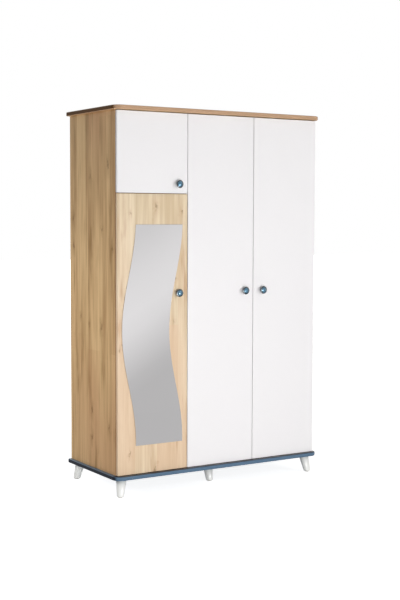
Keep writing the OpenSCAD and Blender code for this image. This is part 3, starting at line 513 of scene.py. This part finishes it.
def turned_knob(name):
    """A knob in one piece, from its foot on the door to the seat of its cap."""
    low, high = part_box(name + "_knob")
    length = high.y - low.y
    half = (length - neck_l) / 2
    rear = [(waist_r + (rim_r - waist_r) * cos(a), neck_l + half * (1 + sin(a)))
            for a in (radians(-84 + 7 * step) for step in range(12))]
    front = [(lip_r + (rim_r - lip_r) * cos(a), neck_l + half * (1 + sin(a)))
             for a in (radians(7.5 * step) for step in range(13))]
    knob = spun([(0.0, 0.0), (foot_r - foot_edge, 0.0), (foot_r, foot_edge), (foot_r, foot_h),
                 (waist_r, waist_h), *rear, *front, (seat_r, length - lip_h),
                 (seat_r, length - seat_h), (0.0, length - seat_h)], 72)
    foot = Vector(((low.x + high.x) / 2, high.y, (low.z + high.z) / 2))
    bmesh.ops.transform(knob, verts=knob.verts,
                        matrix=Matrix.Translation(foot) @ Matrix.Rotation(pi / 2, 4, "X"))
    piece = new_object(name + "_knob_turned", knob, dark_chrome.material, lambda face: True)
    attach(piece, name + "_door")
    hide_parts(name + "_knob")


for name in door_names:
    turned_knob(name)
    blue_cap.dress(name + "_knob_cap")

# ---------------------------------------------------------------------------------------
# Legs: six tapered round legs of white lacquered beech, leaning outwards, with a rounded
# foot and a felt glide nailed underneath.

leg_white = Finish("leg_lacquer", coat=0.2, coat_roughness=0.2)
brush = leg_white.noise(leg_white.x * 120.0, leg_white.y * 120.0, leg_white.z * 14.0, 2.0)
leg_white.feed(colour=leg_white.tint(brush, srgb(250, 250, 247), srgb(244, 244, 240)),
               roughness=0.3 + brush * 0.1)
leg_white.relief(brush, 0.08, 0.0002)
foot_radius, top_radius, foot_rounding = 0.0185, 0.027, 0.006
# a leg leans on an axis where its box is longer than this past the leg's two radii
least_lean = 0.010


def leg(name):
    """A tapered leg that leans outwards as far as its box says."""
    low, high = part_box(name)
    height = high.z - low.z
    lean, centre = Vector((0.0, 0.0, 0.0)), (low + high) / 2
    for axis in (0, 1):
        spread = high[axis] - low[axis] - top_radius - foot_radius
        if spread > least_lean:
            outward = 1 if centre[axis] > 0 else -1
            lean[axis] = spread * outward
            centre[axis] = (low if outward > 0 else high)[axis] + top_radius * outward
    mesh = bmesh.new()
    bmesh.ops.create_cone(mesh, cap_ends=True, segments=64, radius1=foot_radius,
                          radius2=top_radius, depth=height)
    bmesh.ops.translate(mesh, verts=mesh.verts, vec=(0, 0, -height / 2))
    rim = [edge for edge in mesh.edges if all(v.co.z < -height + 1e-5 for v in edge.verts)]
    bmesh.ops.bevel(mesh, geom=rim, offset=foot_rounding, segments=5, profile=0.5,
                    affect="EDGES", material=-1)
    bmesh.ops.transform(mesh, verts=mesh.verts,
                        matrix=Matrix.Shear("XY", 4, (-lean.x / height, -lean.y / height)))
    bmesh.ops.translate(mesh, verts=mesh.verts, vec=(centre.x, centre.y, high.z))
    piece = new_object(name + "_turned", mesh, leg_white.material,
                       lambda face: len(face.vertices) == 4)
    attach(piece, "carcass")
    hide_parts(name)


for row in ("front", "rear"):
    for side in ("left", "middle", "right"):
        leg("leg_" + row + "_" + side)

felt = Finish("felt", roughness=1.0)
nap = felt.speckle(1200.0, 3.0, 0.7)
felt.feed(colour=felt.tint(nap, srgb(206, 202, 194), srgb(170, 165, 156)))
felt.relief(nap, 0.5, 0.0004)
felt.dress("leg_glides")

# ---------------------------------------------------------------------------------------
# Studio: a pale floor that turns white for the camera but keeps the shadow, two cards that
# only reflections see, a white world that lights the pieces dimly, and four soft lamps, two
# from the front and the right and two from the left.


def stage_plane(name, half_x, half_y, place, turn, material):
    """A flat sheet that isn't part of the wardrobe."""
    mesh = bmesh.new()
    bmesh.ops.create_grid(mesh, x_segments=1, y_segments=1, size=1.0)
    bmesh.ops.scale(mesh, verts=mesh.verts, vec=(half_x, half_y, 1.0))
    bmesh.ops.transform(mesh, verts=mesh.verts, matrix=Matrix.Translation(place) @ turn)
    plane = new_object(name, mesh, material)
    return plane


def put_on_surface(finish, shader):
    finish.tree.links.new(shader, finish.tree.nodes["Material Output"].inputs["Surface"])


def floor_paint():
    """Pale paint that glows for the camera, most of all far out, and is grey in reflections."""
    glow_near, glow_far = 0.85, 1.25
    finish = Finish("studio_floor", colour=(0.80, 0.80, 0.80, 1.0), roughness=0.9, specular=0.0)
    rays = finish.node("ShaderNodeLightPath")
    seen = Wire(finish, rays.outputs["Is Camera Ray"])
    far = finish.ease(finish.maths("SQRT", finish.x * finish.x + finish.y * finish.y), 0.7, 2.0)
    glow = seen * (glow_near / glow_far + far * (1.0 - glow_near / glow_far))
    lift = finish.node("ShaderNodeEmission", {}, {
        "Color": finish.tint(glow, (0, 0, 0, 1), (1, 1, 1, 1)), "Strength": glow_far})
    grey = finish.node("ShaderNodeEmission", {}, {"Color": (0.54, 0.54, 0.54, 1)})
    both = finish.node("ShaderNodeAddShader", {}, {0: finish.shader.outputs[0],
                                                   1: lift.outputs[0]})
    pick = finish.node("ShaderNodeMixShader", {}, {0: rays.outputs["Is Glossy Ray"],
                                                   1: both.outputs[0], 2: grey.outputs[0]})
    put_on_surface(finish, pick.outputs[0])
    return finish.material


stage_plane("floor", 30.0, 30.0, Vector((0, 0, 0)), Matrix.Identity(4), floor_paint())


def reflection_card(name, half_x, half_z, place, strength, shades=None):
    """An upright glowing card that only reflections see, white or in slanting greys.

    Each grey comes after its place, which is a share of the graded height."""
    slant_middle, slant, graded_height = 0.863, 0.6, 1.7
    finish = Finish(name)
    colour = (1, 1, 1, 1)
    if shades:
        height = finish.z - (finish.x - slant_middle) * slant
        stops = [(level, (grey, grey, grey, 1.0)) for level, grey in shades]
        colour = finish.node("ShaderNodeValToRGB", {"stops": stops},
                             {0: height * (1 / graded_height)}).outputs[0]
    glow = finish.node("ShaderNodeEmission", {}, {"Color": colour, "Strength": strength})
    put_on_surface(finish, glow.outputs[0])
    card = stage_plane(name, half_x, half_z, Vector(place), Matrix.Rotation(pi / 2, 4, "X"),
                       finish.material)
    card.visible_camera = False
    card.visible_diffuse = False
    card.visible_shadow = False
    card.visible_transmission = False


# what the mirror shows: pale in the middle and darker below
reflection_card("reflection_card", 9.0, 3.0, (3.0, -2.5, 1.5), 1.0, [
    (0.14, 0.545), (0.207, 0.58), (0.308, 0.70), (0.409, 0.82), (0.49, 0.86), (0.577, 0.84),
    (0.687, 0.79), (0.813, 0.72), (1.00, 0.70)])
# the bright spot on the caps of the knobs
reflection_card("window_card", 0.37, 0.36, (-0.07, -2.2, 0.54), 22.0)

world = bpy.data.worlds.new("studio")
world.use_nodes = True
bpy.context.scene.world = world
sky = world.node_tree
rays = sky.nodes.new("ShaderNodeLightPath")
# full strength for the camera and reflections, and dim for the light on the pieces
world_light = 0.28
strength = sky.nodes.new("ShaderNodeMath")
strength.operation = "MULTIPLY_ADD"
strength.inputs[1].default_value = world_light - 1.0
strength.inputs[2].default_value = 1.0
sky.links.new(rays.outputs["Is Diffuse Ray"], strength.inputs[0])
sky.nodes["Background"].inputs["Color"].default_value = (1, 1, 1, 1)
sky.links.new(strength.outputs[0], sky.nodes["Background"].inputs["Strength"])


def lamp(name, place, target, width, height, power):
    """A soft lamp of a width and height in metres, which reflections don't show."""
    light = bpy.data.lights.new(name, "AREA")
    light.shape = "RECTANGLE"
    light.size = width
    light.size_y = height
    light.energy = power
    fitting = bpy.data.objects.new(name, light)
    fitting.location = place
    aim = Vector(target) - Vector(place)
    fitting.rotation_euler = aim.to_track_quat("-Z", "Y").to_euler()
    fitting.visible_glossy = False
    bpy.context.scene.collection.objects.link(fitting)


lamp("key_right", (3.1, -4.8, 2.4), (0.0, -0.2, 0.6), 1.4, 1.4, 50)
lamp("front_fill", (-0.4, -4.6, 0.3), (0.0, -0.2, 0.4), 4.0, 0.5, 106)
lamp("left_low", (-1.9, 0.15, 0.9), (-0.6, 0.1, 0.86), 0.8, 0.6, 7.4)
lamp("left_front", (-3.4, -4.0, 0.6), (-0.2, -0.2, 0.6), 0.5, 0.5, 18)

# ---------------------------------------------------------------------------------------
# Camera: at an eye height of 1.44 m, turned 32 degrees from straight on and looking
# slightly down, so that the doors and the left side are both seen.

camera = bpy.data.cameras.new("camera")
camera.sensor_width = 36.0
camera.lens = 70.22
eye = bpy.data.objects.new("camera", camera)
yaw, pitch, roll = radians(32.101), radians(4.07), radians(0.169)
ahead = Vector((sin(yaw) * cos(pitch), cos(yaw) * cos(pitch), -sin(pitch)))
level = Vector((cos(yaw), -sin(yaw), 0.0))
upright = level.cross(ahead)
right = level * cos(roll) + upright * sin(roll)
upright = upright * cos(roll) - level * sin(roll)
turn = Matrix((right, upright, -ahead)).transposed().to_4x4()
eye.matrix_world = Matrix.Translation((-3.4088, -5.4828, 1.4416)) @ turn
bpy.context.scene.collection.objects.link(eye)
bpy.context.scene.camera = eye
bpy.context.scene.view_settings.view_transform = "Standard"
